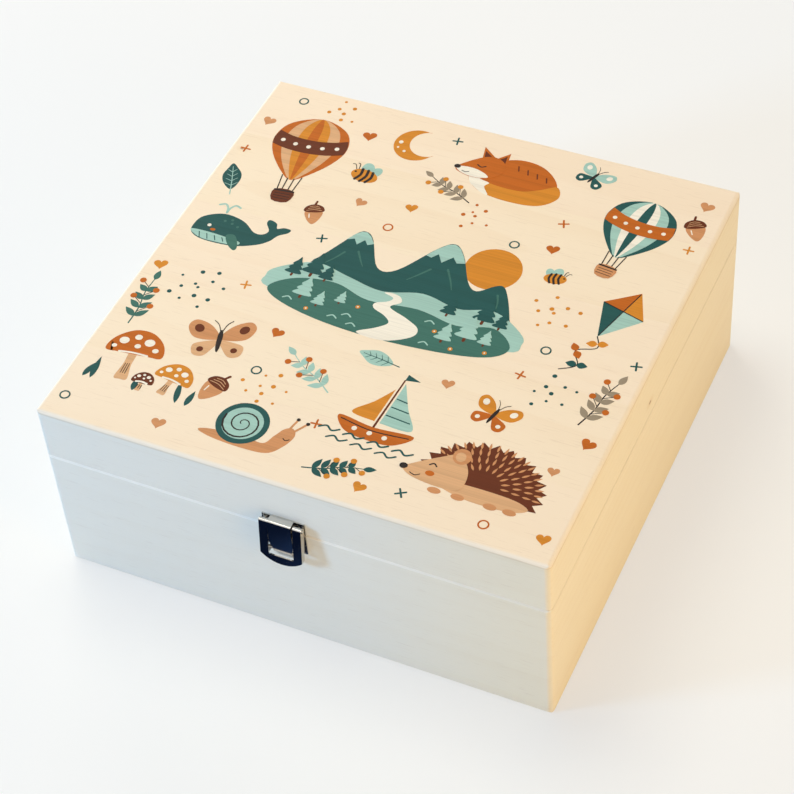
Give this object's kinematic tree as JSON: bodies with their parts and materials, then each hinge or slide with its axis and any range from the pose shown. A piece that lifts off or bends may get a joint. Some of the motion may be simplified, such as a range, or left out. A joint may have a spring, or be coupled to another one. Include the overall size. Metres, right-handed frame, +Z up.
{
  "type": "keepsake box",
  "caption": "Square wooden keepsake box with a hinged lift-up lid and a metal toggle clasp on the front.",
  "frame": {"origin": "centre of the underside, on the surface that the box stands on", "axes": "+X to the right along the front, +Y from the clasp to the hinges, +Z up"},
  "size_m": [0.3, 0.3156, 0.1255],
  "materials": {
    "pine": "sanded, unvarnished",
    "pine_top": "sanded, unvarnished",
    "plywood": "sanded, unvarnished",
    "nickel": "bright nickel plate",
    "print": "matt printing ink on wood"
  },
  "bodies": {
    "base": {"base_front_board": "pine", "base_right_board": "pine", "base_back_board": "pine", "base_left_board": "pine", "base_floor_panel": "plywood", "hinge_base_leaf_left": "nickel", "hinge_base_leaf_right": "nickel", "hinge_pin_left": "nickel", "hinge_pin_right": "nickel", "hinge_base_screws": "nickel", "clasp_base_plate": "nickel", "clasp_base_screws": "nickel", "clasp_lever_rivets": "nickel"},
    "lid": {"lid_front_rail": "pine", "lid_right_rail": "pine", "lid_back_rail": "pine", "lid_left_rail": "pine", "lid_top_stave_1": "pine_top", "lid_top_stave_2": "pine_top", "lid_top_stave_3": "pine_top", "lid_top_stave_4": "pine_top", "lid_top_stave_5": "pine_top", "hinge_lid_leaf_left": "nickel", "hinge_lid_leaf_right": "nickel", "hinge_lid_screws": "nickel", "clasp_strike": "nickel", "clasp_strike_screws": "nickel"},
    "lever": {"clasp_lever": "nickel", "clasp_claw_pin": "nickel"},
    "claw": {"clasp_claw": "nickel"}
  },
  "joints": [
    {"name": "lid_hinge", "type": "hinge", "parent": "base", "child": "lid", "pos_m": [0, 0.153, 0.0895], "axis": [-1, 0, 0], "range_deg": [0, 105]},
    {"name": "lever_pivot", "type": "hinge", "parent": "base", "child": "lever", "pos_m": [-0.0018, -0.1533, 0.0962], "axis": [-1, 0, 0], "range_deg": [0, 66]},
    {"name": "claw_pivot", "type": "hinge", "parent": "lever", "child": "claw", "pos_m": [-0.0018, -0.1547, 0.0769], "axis": [-1, 0, 0], "range_deg": [-15.9, 0]}
  ],
  "couplings": [
    {"joint": "claw_pivot", "follows": "lever_pivot", "ratio": -0.24}
  ]
}
